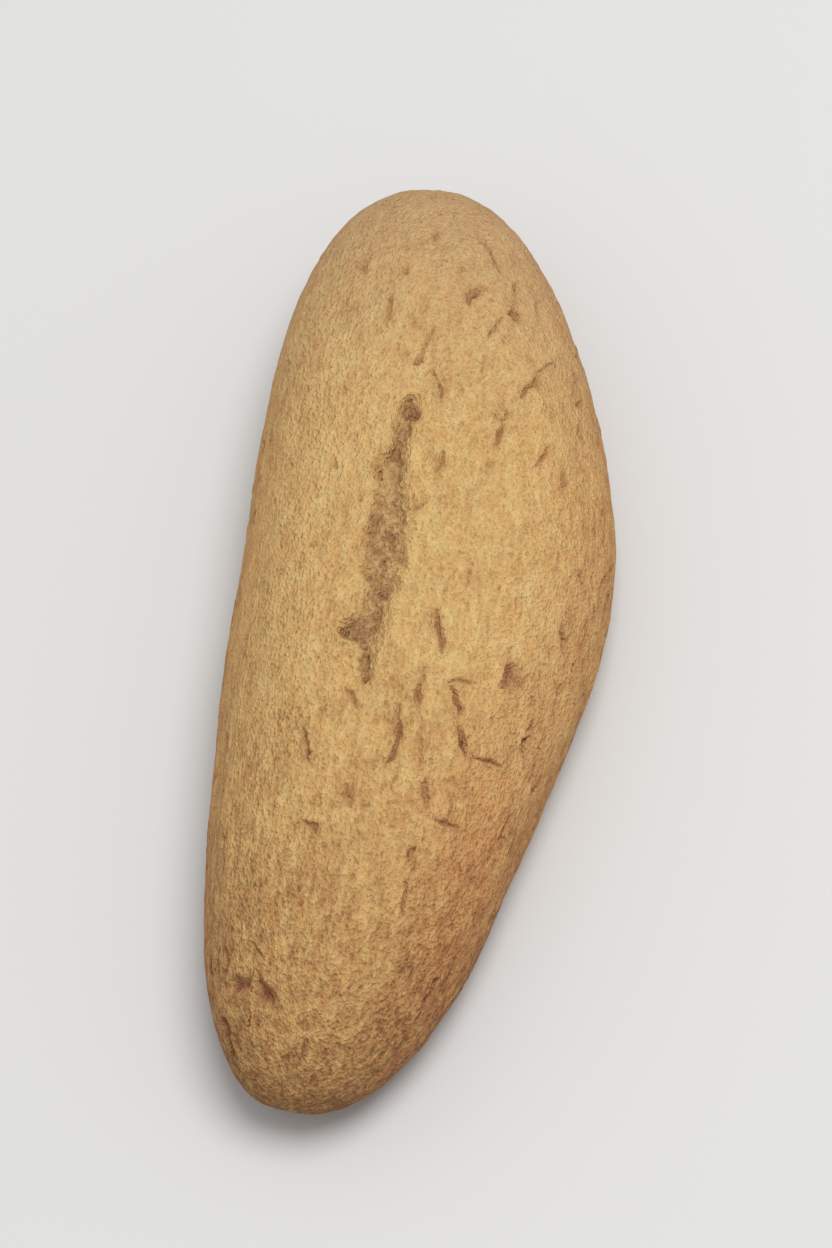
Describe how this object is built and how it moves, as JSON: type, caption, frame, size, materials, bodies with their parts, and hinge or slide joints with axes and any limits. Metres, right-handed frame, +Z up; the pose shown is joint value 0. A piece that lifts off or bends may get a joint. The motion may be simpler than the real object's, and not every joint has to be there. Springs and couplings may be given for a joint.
{
  "type": "anise cookie",
  "caption": "Long hand-rolled cookie with a domed, cracked crown, one wide tear beside it and a flat baked base.",
  "frame": {"origin": "middle of the cookie's box in plan, at the level of its flat base", "axes": "+Y along the bar towards its blunt end, +X towards its full flank, +Z up"},
  "size_m": [0.0494, 0.137, 0.03],
  "materials": {
    "baked_crust": "matt, sandy baked crust"
  },
  "bodies": {
    "root": {"anise_cookie": "baked_crust"}
  },
  "joints": []
}
